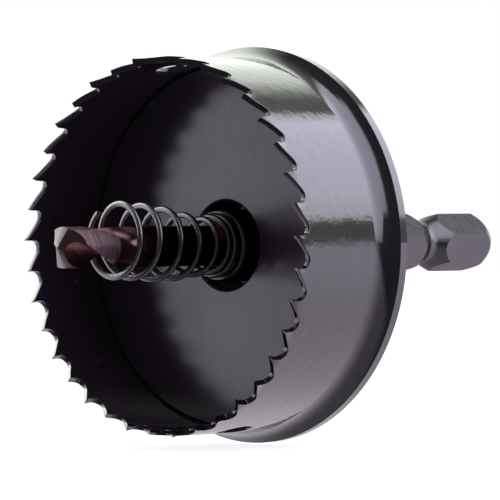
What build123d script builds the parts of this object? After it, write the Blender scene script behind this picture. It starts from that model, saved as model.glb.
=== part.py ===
from build123d import *
import os
from math import asin, cos, degrees, hypot, pi, radians, sin, tan

# Hole saw with a flanged cup, a spring ejector and a quick-change shank.
#
# Frame: the tool's axis is Y. The drill points to -Y, the shank to +Y, and the
# origin lies on the axis in the plane of the flange's back face. Millimetres.

# ---- cup -------------------------------------------------------------------
saw_diameter = 44.45  # over the wall
wall = 0.70  # thickness of the toothed strip
cup_height = 17.3  # tooth tips to the flange's back face
cup_depth = 11.6  # tooth tips to the cup's floor
band_height = 13.0  # tooth tips to the shoulder that the band stands on
flange_diameter = 47.2
flange_thickness = 1.4  # the lip's straight edge, after a hollow flare from the wall
floor_edge = 0.25  # chamfer round the floor, which leaves a fine line at the wall
lip_edge = 0.15  # chamfer on the lip's two rims

# ---- teeth -----------------------------------------------------------------
tooth_count = 37
tooth_depth = 1.95
gullet_radius = 0.95
tooth_set = 0.15  # how far each tip leans out or in
set_depth = 1.10  # how much of a tooth's height is bent
set_boundary = 0.16  # from a rake face to where the next tooth's lean begins, in pitches

# ---- knock-out holes ---------------------------------------------------------
knockout_diameter = 4.2
knockout_setback = 7.6  # tooth tips to the hole's centre
knockout_turn = 12.0  # degrees about the axis, from straight up towards -X

# ---- arbor -------------------------------------------------------------------
nose_diameter = 8.6
nose_reach = 1.6  # how far the nose stands out of the cup's floor
recess_diameter = 10.4  # open ring round the nose, in the cup's floor
recess_depth = 3.0
recess_edge = 0.35
collar_diameter = 13.0
collar_length = 8.0
collar_edge = 0.6
nose_edge = 0.25
shank_flats = 6.35  # across the flats of the hexagon
shank_reach = 40.0  # flange's back face to the shank's end
shank_chamfer_angle = 30.0  # between the end chamfer's surface and the axis
shank_end_diameter = 5.5
hexagon_turn = 17.0  # degrees about the axis, of one corner from level
groove_diameter = 5.1
groove_setback = 10.8  # groove's centre to the shank's end
groove_floor = 0.9  # length of the groove's round floor
groove_angle = 24.0  # between each flank of the groove and the axis
groove_blend = 1.2

# ---- pilot drill ---------------------------------------------------------------
drill_diameter = 4.76
drill_reach = 16.7  # tooth tips to the drill's point
drill_seat = 7.0  # how far the drill reaches past the flange's back face
drill_edge = 0.3  # chamfer at the drill's seated end
point_angle = 135.0
land_angle = 94.0  # width of each land, as an angle about the axis
web_thickness = 1.50
flute_length = 12.4
flute_lead = 28.0  # axial length of one full turn of a flute
flute_runout = 2.6
land_turn = 88.0  # degrees from +X to the first land's middle, at the point
split_turn = 70.0  # degrees from +X to the first split edge
split_gap = 0.10  # half of the web that the split leaves
split_slope = 45.0  # of each split's floor, about the split edge

# ---- ejector spring --------------------------------------------------------------
wire_diameter = 0.75
front_coil_radius = 4.26  # to the middle of the wire
waist_coil_radius = 3.04
seat_coil_radius = 3.50
spring_length = 17.10  # between the middles of the end coils
front_tail_turns = 0.40  # closed part before the first coil
open_turns = 4.7  # first coil to the waist, where the coils close up
seat_turns = 1.8  # closed turns down to the arbor's nose
rise_turn = 0.15  # where the front coil leaves its flat end
taper_turn = 1.7  # where the open coils start to narrow
waist_turn = 5.2  # where they stop
seat_coil = 0.7  # turns at full seat radius
tail_curl = 0.25  # how far the wire's free end curls in
spring_lean = 0.75  # how far the front coil sits above the axis
spring_tilt = 0.09  # slope of the front coil, forward on its +X side
lean_turns = 4.0  # turns over which the lean and the tilt die out
closed_pitch = 0.82

# ---- fits --------------------------------------------------------------------
band_clearance = 0.02  # radial, spigot in band
nose_clearance = 0.02  # radial, nose in base
drill_clearance = 0.02  # radial, drill in arbor
spring_seat_gap = 0.02
braze_leg = 0.62  # radial size of the braze fillet on the nose
braze_height = 0.45

margin = 1.0  # by which each cut overruns the surface it opens

saw_radius = saw_diameter / 2
band_bore_radius = saw_radius - wall
tip_y = -cup_height
floor_y = tip_y + cup_depth
shoulder_y = tip_y + band_height
nose_y = floor_y - nose_reach
point_y = tip_y - drill_reach
drill_radius = drill_diameter / 2
groove_y = shank_reach - groove_setback
tooth_angle = 360 / tooth_count


def turned(angle):
    """The XY plane, turned about the tool's axis: local X is radial, local Y axial."""
    return Plane(origin=(0, 0, 0), x_dir=(cos(radians(angle)), 0, sin(radians(angle))),
                 z_dir=(-sin(radians(angle)), 0, cos(radians(angle))))


# ---- the toothed band ----------------------------------------------------------
# One sector of wall for each tooth. The tips lean out and in by turns.
with BuildPart() as saw_band:
    for tooth in range(tooth_count):
        lean = tooth_set if tooth % 2 else -tooth_set
        with BuildSketch(turned(90 + (tooth - 1 + set_boundary) * tooth_angle)):
            with BuildLine():
                Polyline(
                    (band_bore_radius, shoulder_y),
                    (band_bore_radius, tip_y + set_depth),
                    (band_bore_radius + lean, tip_y),
                    (saw_radius + lean, tip_y),
                    (saw_radius, tip_y + set_depth),
                    (saw_radius, shoulder_y),
                    close=True,
                )
            make_face()
        revolve(axis=Axis.Y, revolution_arc=tooth_angle)
    # One gullet before each tooth: an axial rake face, a round root and a straight back.
    with BuildSketch(*[turned(tooth * tooth_angle) for tooth in range(tooth_count)]):
        pitch = saw_radius * sin(radians(tooth_angle))
        root_x = -gullet_radius
        root_y = tip_y + tooth_depth - gullet_radius
        reach = hypot(pitch - gullet_radius, root_y - tip_y)
        back = asin((root_y - tip_y) / reach) + asin(gullet_radius / reach)
        with BuildLine():
            rake = Line((0, tip_y - margin), (0, root_y))
            root = ThreePointArc(
                rake @ 1,
                (root_x, root_y + gullet_radius),
                (root_x - gullet_radius * sin(back), root_y + gullet_radius * cos(back)),
            )
            slope = Line(root @ 1, (-pitch, tip_y))
            rise = Line(slope @ 1, (-pitch, tip_y - margin))
            Line(rise @ 1, rake @ 0)
        make_face()
    extrude(amount=saw_radius + margin, mode=Mode.SUBTRACT)
    # The two knock-out holes, opposite each other.
    with BuildSketch(turned(knockout_turn)):
        with Locations((0, tip_y + knockout_setback)):
            Circle(knockout_diameter / 2)
    extrude(amount=saw_radius + margin, both=True, mode=Mode.SUBTRACT)
saw_band.part.label = "saw_band"

# ---- the flanged base ------------------------------------------------------------
with BuildPart() as flanged_base:
    spigot_radius = band_bore_radius - band_clearance
    lip_y = -flange_thickness
    lip_radius = flange_diameter / 2
    nose_bore_radius = nose_diameter / 2 + nose_clearance
    with BuildSketch(Plane.XY):
        with BuildLine():
            Polyline(
                (nose_bore_radius, 0),
                (nose_bore_radius, floor_y + recess_depth),
                (recess_diameter / 2, floor_y + recess_depth),
                (recess_diameter / 2, floor_y + recess_edge),
                (recess_diameter / 2 + recess_edge, floor_y),
                (spigot_radius - floor_edge, floor_y),
                (spigot_radius, floor_y + floor_edge),
                (spigot_radius, shoulder_y),
                (saw_radius, shoulder_y),
            )
            TangentArc(
                (saw_radius, shoulder_y),
                (lip_radius - lip_edge, lip_y),
                tangent=(0, 1),
            )
            Polyline(
                (lip_radius - lip_edge, lip_y),
                (lip_radius, lip_y + lip_edge),
                (lip_radius, -lip_edge),
                (lip_radius - lip_edge, 0),
                (nose_bore_radius, 0),
            )
        make_face()
    revolve(axis=Axis.Y)
flanged_base.part.label = "flanged_base"

# ---- the arbor -------------------------------------------------------------------
with BuildPart() as arbor:
    with BuildSketch(Plane.XY):
        with BuildLine():
            Polyline(
                (0, nose_y),
                (nose_diameter / 2 - nose_edge, nose_y),
                (nose_diameter / 2, nose_y + nose_edge),
                (nose_diameter / 2, 0),
                (collar_diameter / 2, 0),
                (collar_diameter / 2, collar_length - collar_edge),
                (collar_diameter / 2 - collar_edge, collar_length),
                (0, collar_length),
                close=True,
            )
        make_face()
    revolve(axis=Axis.Y)
    # Hexagon bar from the collar to the end, its corners cut back by the end chamfer.
    with BuildSketch(Plane.XZ.offset(-collar_length)):
        RegularPolygon(shank_flats / 2, 6, major_radius=False, rotation=hexagon_turn)
    extrude(amount=-(shank_reach - collar_length))
    corner_radius = shank_flats / 3 ** 0.5 + margin
    chamfer_run = (corner_radius - shank_end_diameter / 2) / tan(radians(shank_chamfer_angle))
    with BuildSketch(Plane.XY):
        with BuildLine():
            Polyline(
                (shank_end_diameter / 2, shank_reach),
                (corner_radius, shank_reach - chamfer_run),
                (corner_radius, shank_reach + margin),
                (shank_end_diameter / 2, shank_reach + margin),
                close=True,
            )
        make_face()
    revolve(axis=Axis.Y, mode=Mode.SUBTRACT)
    # The ball groove turned round the hexagon.
    flank_run = (corner_radius - groove_diameter / 2) / tan(radians(groove_angle))
    with BuildSketch(Plane.XY) as groove:
        with BuildLine():
            Polyline(
                (corner_radius, groove_y - groove_floor / 2 - flank_run),
                (groove_diameter / 2, groove_y - groove_floor / 2),
                (groove_diameter / 2, groove_y + groove_floor / 2),
                (corner_radius, groove_y + groove_floor / 2 + flank_run),
                close=True,
            )
        make_face()
        fillet(groove.vertices().sort_by(Axis.X)[:2], groove_blend)
    revolve(axis=Axis.Y, mode=Mode.SUBTRACT)
    # Blind bore for the pilot drill.
    with BuildSketch(Plane.XZ.offset(-nose_y)):
        Circle(drill_radius + drill_clearance)
    extrude(amount=-(drill_seat - nose_y), mode=Mode.SUBTRACT)
arbor.part.label = "arbor"

# ---- the pilot drill ---------------------------------------------------------------
# The fluted end is its own cross-section, twisted along the axis. The plain shank
# begins with a concave nose of revolution, which is what the flutes run out on.
cone_height = drill_radius / tan(radians(point_angle / 2))
flute_cut = (
    drill_radius ** 2 + web_thickness ** 2 / 4
    - web_thickness * drill_radius * sin(radians(land_angle / 2))
) / (2 * drill_radius * sin(radians(land_angle / 2)) - web_thickness)
flute_end_y = point_y + cone_height + flute_length
twist = 360 * (flute_end_y - point_y) / flute_lead
with BuildSketch(Plane.XZ.offset(-point_y), mode=Mode.PRIVATE) as drill_section:
    Circle(drill_radius)
    with PolarLocations(web_thickness / 2 + flute_cut, 2, start_angle=land_turn + 90):
        Circle(flute_cut, mode=Mode.SUBTRACT)
twisted = Solid.extrude_linear_with_rotation(
    drill_section.sketch.face(), (0, point_y, 0), (0, flute_end_y - point_y, 0), twist
)
with BuildPart() as pilot_drill:
    add(twisted)
    with BuildSketch(Plane.XY):
        with BuildLine():
            Line((0, flute_end_y - flute_runout), (web_thickness / 2, flute_end_y - flute_runout))
            TangentArc(
                (web_thickness / 2, flute_end_y - flute_runout),
                (drill_radius, flute_end_y),
                tangent=(0, 1),
            )
            Polyline(
                (drill_radius, flute_end_y),
                (drill_radius, drill_seat - drill_edge),
                (drill_radius - drill_edge, drill_seat),
                (0, drill_seat),
                (0, flute_end_y - flute_runout),
            )
        make_face()
    revolve(axis=Axis.Y)
    # Conical point.
    with BuildSketch(Plane.XY):
        with BuildLine():
            Polyline(
                (0, point_y - margin),
                (0, point_y),
                (drill_radius * 2, point_y + 2 * cone_height),
                (drill_radius * 2, point_y - margin),
                close=True,
            )
        make_face()
    revolve(axis=Axis.Y, mode=Mode.SUBTRACT)
    # The split: a sloping notch on each land's trailing side, its edge along the cone.
    half_point = radians(point_angle / 2)
    split_reach = drill_radius + margin
    for turn in (radians(split_turn), radians(split_turn) + pi):
        edge = (cos(turn) * sin(half_point), cos(half_point), sin(turn) * sin(half_point))
        across = Plane(origin=(0, point_y, 0), x_dir=(sin(turn), 0, -cos(turn)), z_dir=edge)
        with BuildSketch(across):
            with BuildLine():
                Polyline(
                    (split_gap, -split_gap),
                    (split_gap, 0),
                    (split_reach, (split_reach - split_gap) * tan(radians(split_slope))),
                    (split_reach, -split_gap),
                    close=True,
                )
            make_face()
        extrude(amount=split_reach / sin(half_point), mode=Mode.SUBTRACT)
pilot_drill.part.label = "pilot_drill"

# ---- the ejector spring --------------------------------------------------------------
# Left-hand coils, counted from the bottom of the front coil. The coil narrows to a
# waist that clears the drill, then widens to sit on the arbor's nose.
front_y = nose_y - spring_seat_gap - wire_diameter / 2 - spring_length
open_pitch = (spring_length - closed_pitch * seat_turns) / (open_turns - rise_turn)


def ease(t):
    """Smooth step from 0 to 1."""
    t = min(max(t, 0), 1)
    return t * t * (3 - 2 * t)


def ramp(t, blend=0.6):
    """Zero before 0 and t after it, with a rounded corner."""
    corner = max(blend - abs(t), 0) / blend
    return max(t, 0) + corner ** 3 * blend / 6


def coil_point(turn):
    """The middle of the wire after so many turns."""
    angle = 2 * pi * turn
    slack = 1 - ease(turn / lean_turns)
    waist = waist_coil_radius
    taper = ease((turn - taper_turn) / (waist_turn - taper_turn))
    radius = front_coil_radius + (waist - front_coil_radius) * taper
    radius += (seat_coil_radius - waist) * ease((turn - open_turns) / (seat_turns - seat_coil))
    radius -= tail_curl * ease(-turn / front_tail_turns)
    run = open_pitch * (ramp(turn - rise_turn) - ramp(turn - open_turns))
    run += closed_pitch * ramp(turn - open_turns)
    run -= spring_tilt * slack * radius * sin(angle)
    return (radius * sin(angle), front_y + run, spring_lean * slack - radius * cos(angle))


points_per_turn = 10
first_point = -round(front_tail_turns * points_per_turn)
last_point = round((open_turns + seat_turns) * points_per_turn)
with BuildPart() as ejector_spring:
    with BuildLine() as wire:
        Spline(*[coil_point(i / points_per_turn) for i in range(first_point, last_point + 1)])
    with BuildSketch(wire.line ^ 0):
        Circle(wire_diameter / 2)
    sweep(path=wire.line)
ejector_spring.part.label = "ejector_spring"

# ---- the braze fillet ----------------------------------------------------------------
with BuildPart() as pilot_braze:
    braze_inner = drill_radius + drill_clearance
    with BuildSketch(Plane.XY):
        with BuildLine():
            Polyline(
                (braze_inner, nose_y),
                (braze_inner + braze_leg, nose_y),
                (braze_inner, nose_y - braze_height),
                close=True,
            )
        make_face()
    revolve(axis=Axis.Y)
pilot_braze.part.label = "pilot_braze"

os.makedirs("parts", exist_ok=True)
export_step(saw_band.part, "parts/saw_band.step")
export_step(flanged_base.part, "parts/flanged_base.step")
export_step(arbor.part, "parts/arbor.step")
export_step(pilot_drill.part, "parts/pilot_drill.step")
export_step(ejector_spring.part, "parts/ejector_spring.step")
export_step(pilot_braze.part, "parts/pilot_braze.step")
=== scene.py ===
import bpy
import bmesh
from math import asin, ceil, cos, hypot, pi, radians, sin
from mathutils import Matrix, Vector


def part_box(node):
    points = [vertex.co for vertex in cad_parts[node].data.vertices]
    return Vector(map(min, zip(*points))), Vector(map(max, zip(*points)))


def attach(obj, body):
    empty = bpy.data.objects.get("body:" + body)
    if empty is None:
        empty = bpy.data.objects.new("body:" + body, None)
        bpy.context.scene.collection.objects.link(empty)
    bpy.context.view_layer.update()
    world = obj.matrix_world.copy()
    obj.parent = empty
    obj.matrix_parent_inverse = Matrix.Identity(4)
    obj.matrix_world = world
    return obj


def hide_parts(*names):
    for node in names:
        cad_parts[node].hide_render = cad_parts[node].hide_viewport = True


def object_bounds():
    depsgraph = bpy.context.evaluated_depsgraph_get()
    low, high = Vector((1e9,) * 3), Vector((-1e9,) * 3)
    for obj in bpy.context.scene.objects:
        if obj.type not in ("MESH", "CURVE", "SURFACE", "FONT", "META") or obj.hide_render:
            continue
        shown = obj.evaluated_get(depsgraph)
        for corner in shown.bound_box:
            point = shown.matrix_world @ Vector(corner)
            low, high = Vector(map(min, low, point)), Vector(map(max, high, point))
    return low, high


# Hole saw. The tool's axis is Y, the drill points to -Y, the shank to +Y, and the origin
# is in the plane of the flange's back face. Metres.
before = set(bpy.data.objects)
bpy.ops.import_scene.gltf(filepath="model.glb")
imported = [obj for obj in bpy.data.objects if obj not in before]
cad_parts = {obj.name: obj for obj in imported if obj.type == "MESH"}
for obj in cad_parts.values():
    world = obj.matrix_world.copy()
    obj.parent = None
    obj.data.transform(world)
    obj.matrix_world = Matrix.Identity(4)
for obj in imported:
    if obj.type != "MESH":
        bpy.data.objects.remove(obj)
cad_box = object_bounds()
MM = 0.001

# ---- sizes ---------------------------------------------------------------------------
# From the CAD nodes: places along the axis, and the drill's radius.
tip_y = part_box("saw_band")[0].y
shoulder_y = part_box("saw_band")[1].y
nose_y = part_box("arbor")[0].y
point_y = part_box("pilot_drill")[0].y
drill_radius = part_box("pilot_drill")[1].x

# The toothed band.
saw_radius = 22.225 * MM
wall = 0.70 * MM
tooth_count = 37
pitch = 2 * pi * saw_radius / tooth_count
tooth_depth = 1.95 * MM
gullet_radius = 0.95 * MM
tooth_set = 0.15 * MM
set_depth = 1.00 * MM  # how much of a tooth's height is bent
set_curve = 1.3  # power of the bend up the tooth
edge_round = 0.07 * MM
knockout_radius = 2.1 * MM
knockout_setback = 7.6 * MM  # tooth tips to the holes' centres
knockout_turn = radians(12)

# Where the finishes change, and where the painted shade and the painted glint end.
cup_floor_y = nose_y + 1.6 * MM
recess_radius = 5.55 * MM  # where the painted shade round the nose ends, with the chamfer of the ring round the nose
point_rise = 0.4142  # the drill's cone, along the axis for each unit of radius
ground_land = 8.2 * MM  # from the point to the end of the bright lands
flute_reach = 13.4 * MM  # from the point to the black shank
copper_glint_reach = 2.4 * MM  # how far the copper colour, partly a painted glint, reaches from the nose along the drill's top

# The ejector spring. Its turns are counted from the end of the front tail.
wire_radius = 0.375 * MM
front_coil_radius = 4.26 * MM
waist_coil_radius = 3.04 * MM
seat_coil_radius = 3.50 * MM
spring_length = 17.10 * MM  # between the middles of the end coils
spring_seat_gap = 0.02 * MM
closed_pitch = 0.82 * MM
front_tail_turns = 0.40
open_turns = 4.7
seat_turns = 1.8
rise_turn = 0.15  # where the open pitch starts
taper_turn = 1.7  # where the coils start to narrow
waist_turn = 5.2  # where they stop
seat_coil = 0.7  # how much of the seat has its full radius
pitch_blend = 0.6  # turns over which one pitch passes into the next
tail_curl = 0.25 * MM  # how far the front tail's end curls in
spring_lean = 0.75 * MM  # how far the front coil sits above the axis
spring_tilt = 0.09  # slope of the front coil
lean_turns = 4.0  # turns over which the lean and the tilt fade out
points_per_turn = 48


# ---- node helpers ----------------------------------------------------------------------
def new_tree(name, kind, inputs, outputs):
    """An empty node group with named sockets: {name: (type, default)} in, {name: type} out."""
    tree = bpy.data.node_groups.new(name, kind)
    for label, (socket_type, default) in inputs.items():
        socket = tree.interface.new_socket(label, in_out="INPUT", socket_type=socket_type)
        if default is not None:
            socket.default_value = default
    for label, socket_type in outputs.items():
        tree.interface.new_socket(label, in_out="OUTPUT", socket_type=socket_type)
    return tree, tree.nodes.new("NodeGroupInput").outputs, tree.nodes.new("NodeGroupOutput")


def join(tree, node, sockets):
    """Sets a node's inputs to values, or joins other nodes' sockets to them."""
    for key, value in sockets.items():
        if isinstance(value, bpy.types.NodeSocket):
            tree.links.new(value, node.inputs[key])
        else:
            node.inputs[key].default_value = value


def put(tree, kind, sockets=None, **settings):
    """A new node with its settings, and its inputs set or joined."""
    node = tree.nodes.new(kind)
    for key, value in settings.items():
        setattr(node, key, value)
    join(tree, node, sockets or {})
    return node


def maths(tree, operation, *values):
    """One Math node's result."""
    return put(tree, "ShaderNodeMath", dict(enumerate(values)), operation=operation).outputs[0]


def times(tree, product, *factors):
    """The product of two or more values."""
    for factor in factors:
        product = maths(tree, "MULTIPLY", product, factor)
    return product


def ease(tree, value, start, end, low=0.0, high=1.0):
    """Smooth step from low at start to high at end."""
    sockets = {"Value": value, "From Min": start, "From Max": end, "To Min": low, "To Max": high}
    node = put(tree, "ShaderNodeMapRange", sockets, interpolation_type="SMOOTHSTEP")
    return node.outputs["Result"]


def mix_colours(tree, factor, *ends):
    """The first colour at 0 and the second at 1. A colour is a socket or (red, green, blue)."""
    first, second = (
        end if isinstance(end, bpy.types.NodeSocket) else (*end, 1) for end in ends)
    node = put(tree, "ShaderNodeMix", {0: factor, 6: first, 7: second}, data_type="RGBA")
    return node.outputs[2]


# ---- piece helpers ----------------------------------------------------------------------
def mesh_object(name, mesh):
    obj = bpy.data.objects.new(name, mesh)
    bpy.context.scene.collection.objects.link(obj)
    return obj


def run_tree(obj, tree, values):
    """Puts a geometry tree on the object, with its named inputs set."""
    modifier = obj.modifiers.new(tree.name, "NODES")
    modifier.node_group = tree
    for item in tree.interface.items_tree:
        if item.in_out == "INPUT" and item.name in values:
            modifier[item.identifier] = values[item.name]


def make_plain(obj, smooth_angle):
    """The evaluated object becomes its own plain mesh, with no modifiers left."""
    graph = bpy.context.evaluated_depsgraph_get()
    mesh = bpy.data.meshes.new_from_object(obj.evaluated_get(graph), depsgraph=graph)
    obj.modifiers.clear()
    obj.data = mesh
    mesh.name = obj.name
    mesh.shade_smooth()
    mesh.set_sharp_from_angle(angle=smooth_angle)


def place(obj, node):
    """The finished piece rides on the one body and stands for its CAD node."""
    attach(obj, "root")
    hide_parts(node)


# ---- materials --------------------------------------------------------------------------
def specks_group():
    """Dust and pits: a mask of small scattered specks, and a tone for each."""
    tree, ins, outs = new_tree(
        "specks",
        "ShaderNodeTree",
        {"Scale": ("NodeSocketFloat", 700.0), "Amount": ("NodeSocketFloat", 0.1)},
        {"Mask": "NodeSocketFloat", "Tone": "NodeSocketFloat"},
    )
    largest = 0.16  # radius, as a share of a cell
    cells = put(tree, "ShaderNodeTexVoronoi", {
        "Vector": put(tree, "ShaderNodeTexCoord").outputs["Object"],
        "Scale": ins["Scale"],
        "Randomness": 1.0})
    chance = put(tree, "ShaderNodeSeparateColor", {"Color": cells.outputs["Color"]}).outputs
    size = times(tree, chance["Green"], largest)
    near = maths(tree, "LESS_THAN", cells.outputs["Distance"], size)
    chosen = maths(tree, "LESS_THAN", chance["Red"], ins["Amount"])
    join(tree, outs, {"Mask": times(tree, near, chosen), "Tone": chance["Blue"]})
    return tree


def grain_group():
    """Fine uneven surface: a height, and a slow cloud for changes of gloss and colour."""
    tree, ins, outs = new_tree(
        "grain",
        "ShaderNodeTree",
        {"Scale": ("NodeSocketFloat", 900.0), "Stretch": ("NodeSocketVector", (1, 1, 1))},
        {"Height": "NodeSocketFloat", "Cloud": "NodeSocketFloat"},
    )
    cloud_scale = 90.0
    spot = put(tree, "ShaderNodeTexCoord").outputs["Object"]
    spread = put(tree, "ShaderNodeVectorMath", {0: spot, 1: ins["Stretch"]}, operation="MULTIPLY")
    fine = put(tree, "ShaderNodeTexNoise", {
        "Vector": spread.outputs[0], "Scale": ins["Scale"], "Detail": 3.0})
    slow = put(tree, "ShaderNodeTexNoise", {
        "Vector": spot, "Scale": cloud_scale, "Detail": 4.0})
    join(tree, outs, {"Height": fine.outputs["Fac"], "Cloud": slow.outputs["Fac"]})
    return tree


GRAIN = grain_group()
SPECKS = specks_group()


def grain_of(tree, scale, stretch=(1, 1, 1)):
    """The outputs of a grain group in a material."""
    return put(tree, "ShaderNodeGroup", {
        "Scale": scale, "Stretch": stretch}, node_tree=GRAIN).outputs


def object_place(tree):
    """Where a point is on the object: its radius from the tool's axis, its y and its z."""
    spot = put(tree, "ShaderNodeTexCoord").outputs["Object"]
    parts = put(tree, "ShaderNodeSeparateXYZ", {"Vector": spot}).outputs
    across = put(tree, "ShaderNodeCombineXYZ", {"X": parts["X"], "Z": parts["Z"]}).outputs[0]
    radius = put(tree, "ShaderNodeVectorMath", {0: across}, operation="LENGTH").outputs["Value"]
    return {"radius": radius, "y": parts["Y"], "z": parts["Z"]}


def new_material(name, **constants):
    """A material with a Principled shader: (material, tree, shader)."""
    material = bpy.data.materials.new(name)
    material.use_nodes = True
    tree = material.node_tree
    shader = tree.nodes["Principled BSDF"]
    join(tree, shader, constants)
    return material, tree, shader


def add_bump(tree, shader, height, strength, distance):
    """A bump on the shader's normal."""
    bump = put(tree, "ShaderNodeBump", {
        "Height": height, "Strength": strength, "Distance": distance})
    join(tree, shader, {"Normal": bump.outputs["Normal"]})


def enamel_coat(tree, tone, dust_amount):
    """Black stove enamel with dust in it: its colour, its gloss, the dust's mask and the grain."""
    peel_scale = 650.0
    dust_scale = 420.0
    grain = grain_of(tree, peel_scale)
    specks = put(tree, "ShaderNodeGroup", {
        "Scale": dust_scale, "Amount": dust_amount}, node_tree=SPECKS).outputs
    dust = mix_colours(tree, specks["Tone"], (0.002, 0.002, 0.002), (0.25, 0.24, 0.25))
    return {
        "colour": mix_colours(tree, specks["Mask"], tone, dust),
        "gloss": ease(tree, grain["Cloud"], 0.35, 0.65, 0.06, 0.12),
        "dust": specks["Mask"],
        "grain": grain,
    }


enamel_ior = 1.72


def black_enamel():
    """The band: gloss black enamel outside and on the teeth, a thinner coat on the inner wall."""
    material, tree, shader = new_material("black_enamel", IOR=enamel_ior)
    radius = object_place(tree)["radius"]
    inner_radius = saw_radius - wall
    inside = ease(tree, radius, inner_radius + 0.02 * wall, inner_radius + 0.20 * wall, 1.0, 0.0)
    tone = mix_colours(tree, inside, (0.007, 0.005, 0.008), (0.040, 0.025, 0.042))
    coat = enamel_coat(tree, tone, 0.08)
    dust_roughness = 0.5
    rough = maths(tree, "MULTIPLY_ADD", coat["dust"], dust_roughness, coat["gloss"])
    join(tree, shader, {"Base Color": coat["colour"], "Roughness": rough})
    add_bump(tree, shader, coat["grain"]["Height"], 1.0, 0.035 * MM)
    return material


def satin_black():
    """The base: satin black on the cup's floor, gloss elsewhere, and painted shade in the ring
    round the nose, which gets the darkest black and weak reflections.
    """
    material, tree, shader = new_material("satin_black", IOR=enamel_ior)
    spot = object_place(tree)
    in_cup = times(
        tree,
        maths(tree, "LESS_THAN", spot["radius"], saw_radius - wall),
        maths(tree, "LESS_THAN", spot["y"], 0.5 * cup_floor_y))
    # Painted shade: the recess round the nose is made darker and less reflective.
    recess_shade = times(
        tree,
        maths(tree, "LESS_THAN", spot["radius"], recess_radius),
        maths(tree, "GREATER_THAN", spot["y"], cup_floor_y + 0.2 * MM))
    gloss_black = (0.013, 0.009, 0.014)
    tone = mix_colours(tree, in_cup, gloss_black, (0.045, 0.030, 0.048))
    tone = mix_colours(tree, recess_shade, tone, gloss_black)
    coat = enamel_coat(tree, tone, 0.04)
    satin = ease(tree, coat["grain"]["Cloud"], 0.30, 0.70, 0.17, 0.27)
    join(tree, shader, {
        "Base Color": coat["colour"],
        "Roughness": ease(tree, in_cup, 0.0, 1.0, coat["gloss"], satin),
        "Specular IOR Level": ease(tree, recess_shade, 0.0, 1.0, 0.5, 0.12)})
    add_bump(tree, shader, coat["grain"]["Height"], 0.5, 0.02 * MM)
    return material


def ground_edge():
    """Bare steel on the rounded edges of the teeth, under thin worn enamel."""
    material, tree, shader = new_material("ground_edge", Metallic=1.0, Roughness=0.45)
    worn = ease(tree, grain_of(tree, 2500.0)["Height"], 0.42, 0.60)
    colour = mix_colours(tree, worn, (0.05, 0.05, 0.052), (0.95, 0.94, 0.93))
    join(tree, shader, {"Base Color": colour})
    return material


def dark_oxide_steel():
    """The arbor: satin steel under a dark oxide, which dims the metal's glancing shine."""
    material, tree, shader = new_material("dark_oxide_steel", Metallic=1.0)
    grain = grain_of(tree, 1500.0)
    join(tree, shader, {
        "Base Color": mix_colours(tree, grain["Cloud"], (0.075, 0.071, 0.075), (0.12, 0.115, 0.12)),
        "Specular Tint": (0.5, 0.5, 0.5, 1),
        "Roughness": ease(tree, grain["Height"], 0.3, 0.7, 0.24, 0.29)})
    add_bump(tree, shader, grain["Height"], 0.06, 0.01 * MM)
    return material


def drill_steel():
    """The drill: bright point facets and ground lands, red-brown flutes and a black shank. Near the
    nose,
    copper is painted on its top side only: partly copper run from the braze, partly a painted
    glint."""
    material, tree, shader = new_material("drill_steel", Metallic=1.0)
    spot = object_place(tree)
    back = maths(tree, "SUBTRACT", spot["y"], point_y)
    off_cone = maths(
        tree, "ABSOLUTE", maths(tree, "MULTIPLY_ADD", spot["radius"], -point_rise, back))
    edge = 0.03 * MM  # width of the blend at a ground edge
    facet = ease(tree, off_cone, edge, 2 * edge, 1.0, 0.0)
    land = times(
        tree,
        ease(tree, spot["radius"], drill_radius - 2 * edge, drill_radius - edge),
        ease(tree, back, ground_land - 0.3 * MM, ground_land, 1.0, 0.0))
    shank = ease(tree, back, flute_reach - 1.5 * MM, flute_reach)
    # Painted glint: copper colour on the drill's top side only, near the nose, where the light
    # catches it; partly real copper run from the braze.
    copper_and_glint = times(
        tree,
        ease(tree, spot["y"], nose_y - copper_glint_reach, nose_y - 0.5 * copper_glint_reach),
        ease(tree, spot["z"], 0.2 * MM, 1.0 * MM))

    grain = grain_of(tree, 700.0, (1, 12, 1))
    streaks = ease(tree, grain_of(tree, 500.0, (1, 9, 1))["Height"], 0.38, 0.62)
    ground = mix_colours(tree, streaks, (0.28, 0.185, 0.20), (0.50, 0.35, 0.37))
    colour = mix_colours(tree, grain["Cloud"], (0.10, 0.045, 0.048), (0.22, 0.115, 0.122))
    colour = mix_colours(tree, shank, colour, (0.030, 0.020, 0.024))
    colour = mix_colours(tree, copper_and_glint, colour, (0.95, 0.42, 0.14))
    colour = mix_colours(tree, land, colour, ground)
    colour = mix_colours(tree, facet, colour, (0.25, 0.225, 0.22))
    join(tree, shader, {
        "Base Color": colour,
        "Specular Tint": (0.5, 0.4, 0.4, 1),
        "Roughness": ease(tree, copper_and_glint, 0.0, 1.0, 0.3, 0.55)})
    add_bump(tree, shader, grain["Height"], 0.2, 0.01 * MM)
    return material


def clouded_metal(name, roughness, colours, grain_scale, bump_strength, bump_distance):
    """A metal whose colour drifts between two, with a fine bump."""
    material, tree, shader = new_material(name, Metallic=1.0, Roughness=roughness)
    grain = grain_of(tree, grain_scale)
    join(tree, shader, {"Base Color": mix_colours(tree, grain["Cloud"], *colours)})
    add_bump(tree, shader, grain["Height"], bump_strength, bump_distance)
    return material


enamel = black_enamel()
tooth_edge = ground_edge()
wire_steel = clouded_metal(
    "spring_wire", 0.24, [(0.09, 0.087, 0.09), (0.21, 0.204, 0.20)], 1500.0, 0.12, 0.01 * MM)
braze_copper = clouded_metal(
    "copper_braze", 0.5, [(0.55, 0.16, 0.05), (0.90, 0.42, 0.18)], 900.0, 0.4, 0.03 * MM)


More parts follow.
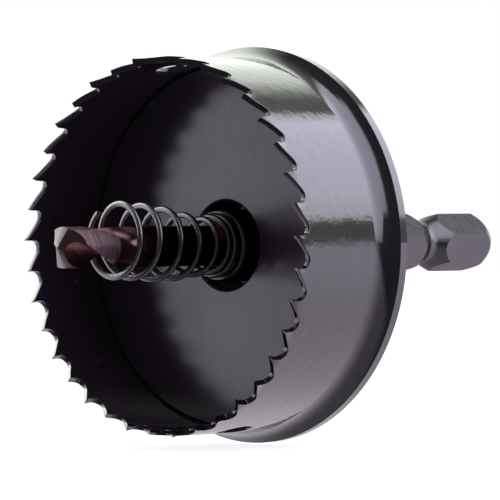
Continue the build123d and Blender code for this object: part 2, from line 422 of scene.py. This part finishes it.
# ---- the toothed band ---------------------------------------------------------------------
def tooth_outline():
    """One tooth from the foot of its cutting face to the foot of the next: (along, depth)."""
    face_steps, back_steps, root_steps = 3, 6, 8
    centre_depth = tooth_depth - gullet_radius
    centre_along = pitch - gullet_radius
    reach = hypot(centre_along, centre_depth)
    back = asin(centre_depth / reach) + asin(gullet_radius / reach)
    start = pi / 2 + back
    touch = (centre_along + gullet_radius * cos(start), centre_depth + gullet_radius * sin(start))
    face = [(0.0, centre_depth * (1 - i / face_steps)) for i in range(face_steps)]
    slope = [(touch[0] * i / back_steps, touch[1] * i / back_steps) for i in range(back_steps)]
    turns = [start * (1 - i / root_steps) for i in range(root_steps + 1)]
    root = [
        (centre_along + gullet_radius * cos(a), centre_depth + gullet_radius * sin(a))
        for a in turns]
    return face + slope + root


def tooth_block():
    """A flat block with one tooth: X along the edge, Y across the strip, Z out of the wall."""
    outline = tooth_outline()
    last = len(outline) - 1
    even_depth = tooth_depth + 0.6 * MM  # where the rows have evened out
    strip = shoulder_y - tip_y
    rings = []
    for share in (0, 0.15, 0.4, 0.7, 1.0):
        rings.append([
            (x + (pitch * i / last - x) * share, depth + (even_depth - depth) * share)
            for i, (x, depth) in enumerate(outline)])
    for share in (0.35, 0.6, 0.85, 1.0):
        rings.append([(pitch * i / last, share * strip) for i in range(last + 1)])
    mesh = bmesh.new()
    outer = [[mesh.verts.new((x, y, 0)) for x, y in ring] for ring in rings]
    inner = [[mesh.verts.new((x, y, -wall)) for x, y in ring] for ring in rings]
    for i in range(last):
        for a, b in zip(outer, outer[1:]):
            mesh.faces.new((a[i], b[i], b[i + 1], a[i + 1]))
        for a, b in zip(inner, inner[1:]):
            mesh.faces.new((a[i], a[i + 1], b[i + 1], b[i]))
        mesh.faces.new((outer[0][i], outer[0][i + 1], inner[0][i + 1], inner[0][i]))
        mesh.faces.new((outer[-1][i], inner[-1][i], inner[-1][i + 1], outer[-1][i + 1]))
    block = bpy.data.meshes.new("tooth_block")
    mesh.to_mesh(block)
    mesh.free()
    return block


def toothed_strip_tree():
    """Repeats one tooth, bends the strip into a ring, sets the tips and cuts the two holes."""
    number = "NodeSocketFloat"
    tree, ins, outs = new_tree(
        "toothed_strip",
        "GeometryNodeTree",
        {
            "Geometry": ("NodeSocketGeometry", None),
            "Teeth": ("NodeSocketInt", tooth_count),
            "Pitch": (number, pitch),
            "Radius": (number, saw_radius),
            "Tip": (number, tip_y),
            "Set": (number, tooth_set),
            "Set Depth": (number, set_depth),
            "Hole Radius": (number, knockout_radius),
            "Hole Setback": (number, knockout_setback),
            "Hole Turn": (number, knockout_turn),
            "Finish": ("NodeSocketMaterial", None),
        },
        {"Geometry": "NodeSocketGeometry"},
    )
    step = put(tree, "ShaderNodeCombineXYZ", {"X": times(tree, ins["Pitch"], -1.0)})
    line = put(tree, "GeometryNodeMeshLine", {"Count": ins["Teeth"], "Offset": step.outputs[0]})
    index = put(tree, "GeometryNodeInputIndex").outputs[0]
    numbered = put(
        tree, "GeometryNodeStoreNamedAttribute",
        {"Geometry": line.outputs["Mesh"], "Name": "tooth", "Value": index},
        data_type="FLOAT", domain="POINT")
    copies = put(tree, "GeometryNodeInstanceOnPoints", {
        "Points": numbered.outputs[0], "Instance": ins["Geometry"]})
    real = put(tree, "GeometryNodeRealizeInstances", {"Geometry": copies.outputs[0]})

    # The tips lean out and in by turns.
    tooth = put(tree, "GeometryNodeInputNamedAttribute", {"Name": "tooth"}, data_type="FLOAT")
    odd = maths(tree, "MODULO", tooth.outputs[0], 2.0)
    side = maths(tree, "MULTIPLY_ADD", odd, 2.0, -1.0)
    position = put(tree, "GeometryNodeInputPosition").outputs[0]
    spot = put(tree, "ShaderNodeSeparateXYZ", {"Vector": position}).outputs
    bend = maths(tree, "SUBTRACT", 1.0, maths(tree, "DIVIDE", spot["Y"], ins["Set Depth"]))
    bend = maths(tree, "POWER", maths(tree, "MAXIMUM", bend, 0.0), set_curve)
    lean = times(tree, side, bend, ins["Set"])
    reach = maths(tree, "ADD", maths(tree, "ADD", ins["Radius"], spot["Z"]), lean)
    unit_radius = maths(tree, "DIVIDE", times(tree, ins["Teeth"], ins["Pitch"]), 2 * pi)
    turned = maths(tree, "DIVIDE", spot["X"], unit_radius)
    angle = maths(tree, "SUBTRACT", pi / 2, turned)
    ring_place = put(tree, "ShaderNodeCombineXYZ", {
        "X": times(tree, reach, maths(tree, "COSINE", angle)),
        "Y": maths(tree, "ADD", spot["Y"], ins["Tip"]),
        "Z": times(tree, reach, maths(tree, "SINE", angle))})
    ring = put(tree, "GeometryNodeSetPosition", {
        "Geometry": real.outputs[0], "Position": ring_place.outputs[0]})
    whole = put(tree, "GeometryNodeMergeByDistance", {
        "Geometry": ring.outputs[0], "Distance": 0.002 * MM})

    # One cutter passes through both walls, for the two holes.
    cutter = put(
        tree, "GeometryNodeMeshCylinder",
        {"Vertices": 64, "Radius": ins["Hole Radius"], "Depth": times(tree, ins["Radius"], 3.0)},
        fill_type="NGON")
    setback = maths(tree, "ADD", ins["Tip"], ins["Hole Setback"])
    hole_place = put(tree, "ShaderNodeCombineXYZ", {"Y": setback})
    hole_turn = put(tree, "ShaderNodeCombineXYZ", {"Y": times(tree, ins["Hole Turn"], -1.0)})
    placed = put(tree, "GeometryNodeTransform", {
        "Geometry": cutter.outputs["Mesh"],
        "Translation": hole_place.outputs[0],
        "Rotation": hole_turn.outputs[0]})
    cut = put(
        tree, "GeometryNodeMeshBoolean",
        {"Mesh 1": whole.outputs[0], "Mesh 2": placed.outputs[0]},
        operation="DIFFERENCE", solver="MANIFOLD")

    # The rounding takes the sharp edges of the teeth and the holes, and leaves the shoulder.
    fold = put(tree, "GeometryNodeInputMeshEdgeAngle").outputs["Unsigned Angle"]
    sharp = maths(tree, "GREATER_THAN", fold, radians(35))
    edge_place = put(tree, "ShaderNodeSeparateXYZ", {
        "Vector": put(tree, "GeometryNodeInputPosition").outputs[0]}).outputs
    clear = maths(tree, "LESS_THAN", edge_place["Y"], shoulder_y - 0.5 * MM)
    weight = times(tree, sharp, clear)
    weighed = put(
        tree, "GeometryNodeStoreNamedAttribute",
        {"Geometry": cut.outputs[0], "Name": "bevel_weight_edge", "Value": weight},
        data_type="FLOAT", domain="EDGE")
    coated = put(tree, "GeometryNodeSetMaterial", {
        "Geometry": weighed.outputs[0], "Material": ins["Finish"]})
    join(tree, outs, {0: coated.outputs[0]})
    return tree


band = mesh_object("toothed_band", tooth_block())
band.data.materials.append(enamel)
band.data.materials.append(tooth_edge)
run_tree(band, toothed_strip_tree(), {"Finish": enamel})
rounding = band.modifiers.new("edge_round", "BEVEL")
rounding.width = edge_round
rounding.segments = 2
rounding.limit_method = "WEIGHT"
rounding.material = 1  # tooth_edge
make_plain(band, radians(30))
place(band, "saw_band")


# ---- the ejector spring ----------------------------------------------------------------------
def coil_tree():
    """A round wire along a coil that narrows to a waist and closes up towards its seat."""
    number = "NodeSocketFloat"
    open_length = spring_length - closed_pitch * seat_turns
    tree, ins, outs = new_tree(
        "waisted_coil",
        "GeometryNodeTree",
        {
            "Geometry": ("NodeSocketGeometry", None),
            "Wire Radius": (number, wire_radius),
            "Front Radius": (number, front_coil_radius),
            "Waist Radius": (number, waist_coil_radius),
            "Seat Radius": (number, seat_coil_radius),
            "Front": (number, nose_y - spring_seat_gap - wire_radius - spring_length),
            "Open Pitch": (number, open_length / (open_turns - rise_turn)),
            "Closed Pitch": (number, closed_pitch),
            "Lean": (number, spring_lean),
            "Tilt": (number, spring_tilt),
            "Tail Curl": (number, tail_curl),
            "Points Per Turn": (number, points_per_turn),
            "Finish": ("NodeSocketMaterial", None),
        },
        {"Geometry": "NodeSocketGeometry"},
    )
    turns = front_tail_turns + open_turns + seat_turns
    line = put(tree, "GeometryNodeMeshLine", {"Count": ceil(turns * points_per_turn) + 1})
    index = put(tree, "GeometryNodeInputIndex").outputs[0]
    turn = maths(tree, "DIVIDE", index, ins["Points Per Turn"])
    turn = maths(tree, "SUBTRACT", turn, front_tail_turns)

    # Its radius: wide in front, a waist, a flare at the seat, and a front tail that curls in.
    taper = ease(tree, turn, taper_turn, waist_turn, ins["Front Radius"], ins["Waist Radius"])
    flare_size = maths(tree, "SUBTRACT", ins["Seat Radius"], ins["Waist Radius"])
    flare_end = open_turns + seat_turns - seat_coil
    flare = ease(tree, turn, open_turns, flare_end, 0.0, flare_size)
    tail = times(tree, turn, -1.0)
    curl = ease(tree, tail, 0.0, front_tail_turns, 0.0, ins["Tail Curl"])
    radius = maths(tree, "SUBTRACT", maths(tree, "ADD", taper, flare), curl)

    # Its pitch: flat at the front coil, then open, then closed. The front leans and tilts.
    past_rise = maths(tree, "SUBTRACT", turn, rise_turn)
    past_open = maths(tree, "SUBTRACT", turn, open_turns)
    rising = maths(tree, "SMOOTH_MAX", past_rise, 0.0, pitch_blend)
    closing = maths(tree, "SMOOTH_MAX", past_open, 0.0, pitch_blend)
    open_run = times(tree, maths(tree, "SUBTRACT", rising, closing), ins["Open Pitch"])
    run = maths(tree, "ADD", open_run, times(tree, closing, ins["Closed Pitch"]))
    slack = ease(tree, turn, 0.0, lean_turns, 1.0, 0.0)
    angle = times(tree, turn, 2 * pi)
    sideways = times(tree, radius, maths(tree, "SINE", angle))
    upright = times(tree, radius, maths(tree, "COSINE", angle))
    tilt = times(tree, sideways, times(tree, slack, ins["Tilt"]))
    spot = put(tree, "ShaderNodeCombineXYZ", {
        "X": sideways,
        "Y": maths(tree, "ADD", ins["Front"], maths(tree, "SUBTRACT", run, tilt)),
        "Z": maths(tree, "SUBTRACT", times(tree, slack, ins["Lean"]), upright)})

    coil = put(tree, "GeometryNodeSetPosition", {
        "Geometry": line.outputs["Mesh"], "Position": spot.outputs[0]})
    path = put(tree, "GeometryNodeMeshToCurve", {"Mesh": coil.outputs[0]})
    section = put(tree, "GeometryNodeCurvePrimitiveCircle", {
        "Resolution": 20, "Radius": ins["Wire Radius"]})
    wire = put(tree, "GeometryNodeCurveToMesh", {
        "Curve": path.outputs[0], "Profile Curve": section.outputs["Curve"], "Fill Caps": True})
    coated = put(tree, "GeometryNodeSetMaterial", {
        "Geometry": wire.outputs[0], "Material": ins["Finish"]})
    join(tree, outs, {0: coated.outputs[0]})
    return tree


spring = mesh_object("coil_spring", bpy.data.meshes.new("coil_spring"))
run_tree(spring, coil_tree(), {"Finish": wire_steel})
make_plain(spring, radians(40))
place(spring, "ejector_spring")


# ---- the pieces that stay as the CAD has them ------------------------------------------------
def recoat(node, material):
    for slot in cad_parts[node].material_slots:
        slot.material = material


recoat("flanged_base", satin_black())
recoat("arbor", dark_oxide_steel())
recoat("pilot_drill", drill_steel())
recoat("pilot_braze", braze_copper)


# ---- camera ---------------------------------------------------------------------------------
view_turn = radians(42.788)  # about the vertical, from looking along +Y
view_roll = radians(-0.86)
view_place = Vector((374.5, -406.1, -0.59)) * MM
lens = 332.85  # millimetres, on a 36 mm frame

camera = bpy.data.objects.new("camera", bpy.data.cameras.new("camera"))
bpy.context.scene.collection.objects.link(camera)
camera.data.lens = lens
camera.data.sensor_width = 36
camera.data.clip_start = 0.01
camera.matrix_world = (
    Matrix.Translation(view_place)
    @ Matrix.Rotation(view_turn, 4, "Z")
    @ Matrix.Rotation(pi / 2, 4, "X")
    @ Matrix.Rotation(view_roll, 4, "Z")
)
bpy.context.scene.camera = camera


# ---- stage and light -----------------------------------------------------------------------
def floor_material():
    """White paper with the object's shadow, for the eye alone. The world lights from below."""
    material = bpy.data.materials.new("studio_floor")
    material.use_nodes = True
    tree = material.node_tree
    tree.nodes.clear()
    camera_ray = put(tree, "ShaderNodeLightPath").outputs["Is Camera Ray"]
    shadow = put(tree, "ShaderNodeBsdfDiffuse", {"Color": (0.25, 0.25, 0.25, 1)})
    paper = put(tree, "ShaderNodeEmission", {"Color": (1, 1, 1, 1), "Strength": 0.86})
    seen = put(tree, "ShaderNodeAddShader", {0: shadow.outputs[0], 1: paper.outputs[0]})
    unseen = put(tree, "ShaderNodeBsdfTransparent")
    outer = put(tree, "ShaderNodeMixShader", {
        0: camera_ray, 1: unseen.outputs[0], 2: seen.outputs[0]})
    put(tree, "ShaderNodeOutputMaterial", {"Surface": outer.outputs[0]})
    return material


floor_half = 3.0
floor_gap = 0.2 * MM
floor_mesh = bpy.data.meshes.new("studio_floor")
floor_mesh.from_pydata(
    [(x * floor_half, y * floor_half, 0) for x, y in ((-1, -1), (1, -1), (1, 1), (-1, 1))],
    [], [(0, 1, 2, 3)])
floor = mesh_object("studio_floor", floor_mesh)
floor.location.z = cad_box[0].z - floor_gap
floor.data.materials.append(floor_material())


def softbox(name, place_at, across, side, radiance):
    """A square flat lamp that faces the object, with one side along the direction across."""
    lamp = bpy.data.lights.new(name, "AREA")
    lamp.shape = "SQUARE"
    lamp.size = side
    lamp.energy = radiance * pi * side * side
    obj = bpy.data.objects.new(name, lamp)
    bpy.context.scene.collection.objects.link(obj)
    back = Vector(place_at).normalized()
    x_axis = Vector(across).normalized()
    x_axis = (x_axis - back * x_axis.dot(back)).normalized()
    y_axis = back.cross(x_axis)
    turn = Matrix((x_axis, y_axis, back)).transposed().to_4x4()
    obj.matrix_world = Matrix.Translation(Vector(place_at)) @ turn
    obj.visible_camera = False


softbox("left_box", (-0.9, -0.9, 1.2), across=(1, -1, 0), side=1.2, radiance=0.5)


# The world is a pattern by direction. Y is how far a direction points along the tool's axis,
# and turn is its angle about that axis: 0 at the right, a quarter turn overhead.
def light_box(tree, y, turn):
    """A long box high on the right: its long edges run askew, and so does its front end."""
    askew = ease(tree, y, 0.62, 0.74, 1.0, 0.0)
    lower = times(tree, ease(tree, y, 0.05, 0.30, 0.0, radians(12)), askew)
    higher = times(tree, ease(tree, y, 0.05, 0.25, radians(-8), radians(9)), askew)
    lowered = maths(tree, "ADD", turn, lower)
    raised = maths(tree, "SUBTRACT", turn, higher)
    slanted = maths(tree, "SUBTRACT", y, ease(tree, turn, radians(45), radians(70), 0.0, 0.09))
    low_edge = ease(tree, lowered, radians(13), radians(17))
    dim_below = ease(tree, lowered, radians(15), radians(34), 0.80, 1.0)
    high_edge = ease(tree, raised, radians(80), radians(91), 1.0, 0.0)
    front_end = ease(tree, slanted, -0.28, -0.08)
    return times(tree, low_edge, dim_below, high_edge, front_end)


def left_box(tree, y, turn):
    """A pale box that fades in past overhead, earlier towards the back."""
    start = ease(tree, y, 0.50, 0.70, radians(108), radians(93))
    fade_in = ease(tree, maths(tree, "SUBTRACT", turn, start), radians(5), radians(30))
    dim_low = ease(tree, turn, radians(155), radians(178), 1.0, 0.5)
    front_end = ease(tree, y, -0.28, -0.06)
    return times(tree, fade_in, dim_low, front_end)


def paper_table(tree, y, turn):
    """The paper below, brighter at the back and at the right, with its dark edge in front."""
    level = ease(tree, y, 0.0, 1.0, 0.46, 1.62)
    level = times(tree, level, ease(tree, turn, radians(-45), radians(-5), 1.0, 1.45))
    at_left = ease(tree, turn, radians(-165), radians(-115), 1.0, 0.0)
    change = ease(tree, y, 0.35, 0.65, 1.2, -0.60)
    level = maths(tree, "MULTIPLY_ADD", at_left, change, level)
    edge_slope, edge_start, edge_blur, edge_level = -1.72, 0.65, 0.16, 0.07
    along = maths(tree, "MULTIPLY_ADD", turn, edge_slope, y)
    past_edge = maths(tree, "SUBTRACT", along, edge_start)
    return ease(tree, past_edge, -edge_blur, edge_blur, edge_level, level)


def studio_world():
    """White to the eye. To the object, a room with a light box high on the right, a pale box on
    the left, a wall in front that is white on the left and dark on the right, and a table."""
    world = bpy.data.worlds.new("studio")
    world.use_nodes = True
    tree = world.node_tree
    tree.nodes.clear()
    camera_ray = put(tree, "ShaderNodeLightPath").outputs["Is Camera Ray"]
    way = put(tree, "ShaderNodeSeparateXYZ", {
        "Vector": put(tree, "ShaderNodeTexCoord").outputs["Generated"]}).outputs
    x, y, z = way["X"], way["Y"], way["Z"]
    turn = maths(tree, "ARCTAN2", z, x)

    front = ease(tree, x, -0.76, -0.54, 1.95, 0.12)
    below = ease(tree, y, -0.55, -0.35, front, paper_table(tree, y, turn))
    room_level = 0.5
    room_start = ease(tree, x, -0.3, 0.3, -0.05, 0.30)
    above = ease(tree, y, room_start, 0.60, front, room_level)
    box = light_box(tree, y, turn)
    box_level = ease(tree, y, 0.50, 0.76, 3.1, 4.35)
    above = maths(tree, "MULTIPLY_ADD", box, box_level, above)
    left_level = ease(tree, y, 0.30, 0.70, 3.0, 1.9)
    above = maths(tree, "MULTIPLY_ADD", left_box(tree, y, turn), left_level, above)

    # The horizon is a wide blend in front and a narrow one at the back.
    horizon_low = ease(tree, y, 0.50, 0.70, -0.30, -0.06)
    horizon_high = ease(tree, y, 0.50, 0.70, 0.20, 0.08)
    under = ease(tree, z, horizon_low, horizon_high, 1.0, 0.0)
    level = ease(tree, under, 0.0, 1.0, above, below)

    lavender = (0.84, 0.83, 1.0)
    table_right = ease(tree, turn, radians(-45), radians(-5))
    table_tint = mix_colours(tree, table_right, (0.97, 0.90, 1.0), (0.85, 0.81, 1.0))
    room_tint = mix_colours(tree, box, (0.95, 1.0, 0.93), lavender)
    tint = mix_colours(tree, under, room_tint, table_tint)
    tint = mix_colours(tree, ease(tree, y, -0.45, -0.20), (0.92, 0.87, 1.0), tint)

    sky = put(tree, "ShaderNodeBackground", {
        "Color": mix_colours(tree, camera_ray, tint, (1.0, 1.0, 1.0)),
        "Strength": ease(tree, camera_ray, 0.0, 1.0, level, 1.0)})
    put(tree, "ShaderNodeOutputWorld", {"Surface": sky.outputs[0]})
    return world


bpy.context.scene.world = studio_world()
bpy.context.scene.view_settings.view_transform = "Standard"
